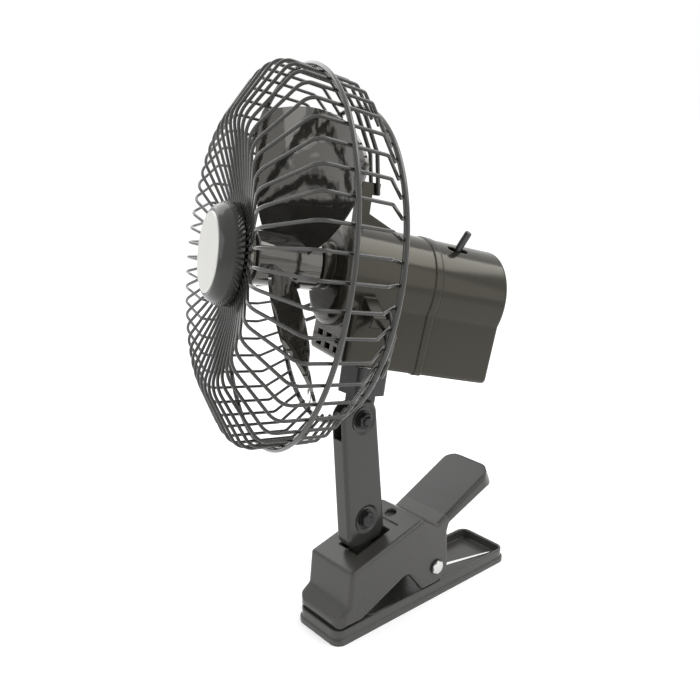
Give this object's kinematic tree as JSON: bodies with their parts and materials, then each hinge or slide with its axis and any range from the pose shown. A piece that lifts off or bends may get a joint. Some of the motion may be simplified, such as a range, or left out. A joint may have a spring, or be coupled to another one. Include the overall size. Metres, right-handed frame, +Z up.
{
  "type": "car fan",
  "caption": "Clip-on car fan: wire guard, black blades and motor head that oscillates on a tilting neck above a sprung clamp base.",
  "frame": {"origin": "underside of the clamp base, under the neck's lower bolt", "axes": "+Z up, clamp nose towards -Y, +X across the clamp"},
  "size_m": [0.1809, 0.1989, 0.2979],
  "materials": {
    "casing": "gloss black moulding",
    "cap": "gloss black moulding",
    "jaw": "satin black moulding",
    "knuckle": "satin black moulding",
    "neck": "black enamel on folded sheet",
    "wire": "black gloss paint on wire",
    "blade": "gloss black moulding",
    "hub_cap": "cream moulding",
    "badge": "satin silver disc, bare",
    "zinc": "zinc plate",
    "bolt": "black oxide",
    "spring_steel": "bright wire",
    "shaft": "ground steel",
    "rubber": "moulded rubber",
    "brass": "sintered bronze",
    "nylon": "natural nylon",
    "motor_steel": "zinc plated sheet",
    "magnet": "ferrite",
    "lever": "black moulding"
  },
  "bodies": {
    "base": {"lower_jaw": "jaw", "lower_pad": "rubber", "pivot_pin": "zinc", "spring": "spring_steel"},
    "jaw": {"upper_jaw": "jaw", "upper_pad": "rubber", "jaw_screw": "bolt"},
    "arm": {"neck": "neck", "lower_bolt": "bolt", "lower_nut": "bolt", "upper_bolt": "bolt", "upper_nut": "bolt", "washers": "bolt"},
    "tilt": {"knuckle": "knuckle", "thrust_washer": "nylon", "swivel_screw": "zinc"},
    "head": {"front_casing": "casing", "rear_casing": "casing", "casing_screws": "zinc", "motor_can": "motor_steel", "motor_magnets": "magnet", "motor_bushes": "brass", "swivel_bush": "brass", "guard_wires": "wire", "front_hoop": "wire", "rear_ring": "wire", "struts": "wire", "centre_plate": "wire", "cap": "cap", "badge": "badge", "cap_screw": "zinc", "lever_pin": "shaft", "switch_body": "nylon"},
    "rotor": {"shaft": "shaft", "armature": "motor_steel", "fan": "blade", "hub_cap": "hub_cap"},
    "toggle": {"lever": "lever"}
  },
  "joints": [
    {"name": "clamp_open", "type": "hinge", "parent": "base", "child": "jaw", "pos_m": [0, 0.0423, 0.0202], "axis": [-1, 0, 0], "range_deg": [0, 25], "stiffness_Nm_per_rad": 1.5, "springref_deg": -20.05, "deforming": ["spring"]},
    {"name": "arm_tilt", "type": "hinge", "parent": "jaw", "child": "arm", "pos_m": [0, -0.001, 0.0609], "axis": [1, 0, 0], "range_deg": [-4, 12]},
    {"name": "head_tilt", "type": "hinge", "parent": "arm", "child": "tilt", "pos_m": [0, -0.00338, 0.11911], "axis": [1, 0, 0], "range_deg": [-25, 30]},
    {"name": "oscillate", "type": "hinge", "parent": "tilt", "child": "head", "pos_m": [0, 0.01083, 0.1958], "axis": [0, 0.1822, 0.9833], "range_deg": [-27, 63]},
    {"name": "fan_spin", "type": "hinge", "parent": "head", "child": "rotor", "pos_m": [0, 0.01083, 0.1958], "axis": [-0.309, -0.9351, 0.1733], "continuous": true},
    {"name": "switch_flip", "type": "hinge", "parent": "head", "child": "toggle", "pos_m": [0.01789, 0.04329, 0.19732], "axis": [0.8451, -0.3821, -0.3739], "range_deg": [-12, 12]}
  ]
}
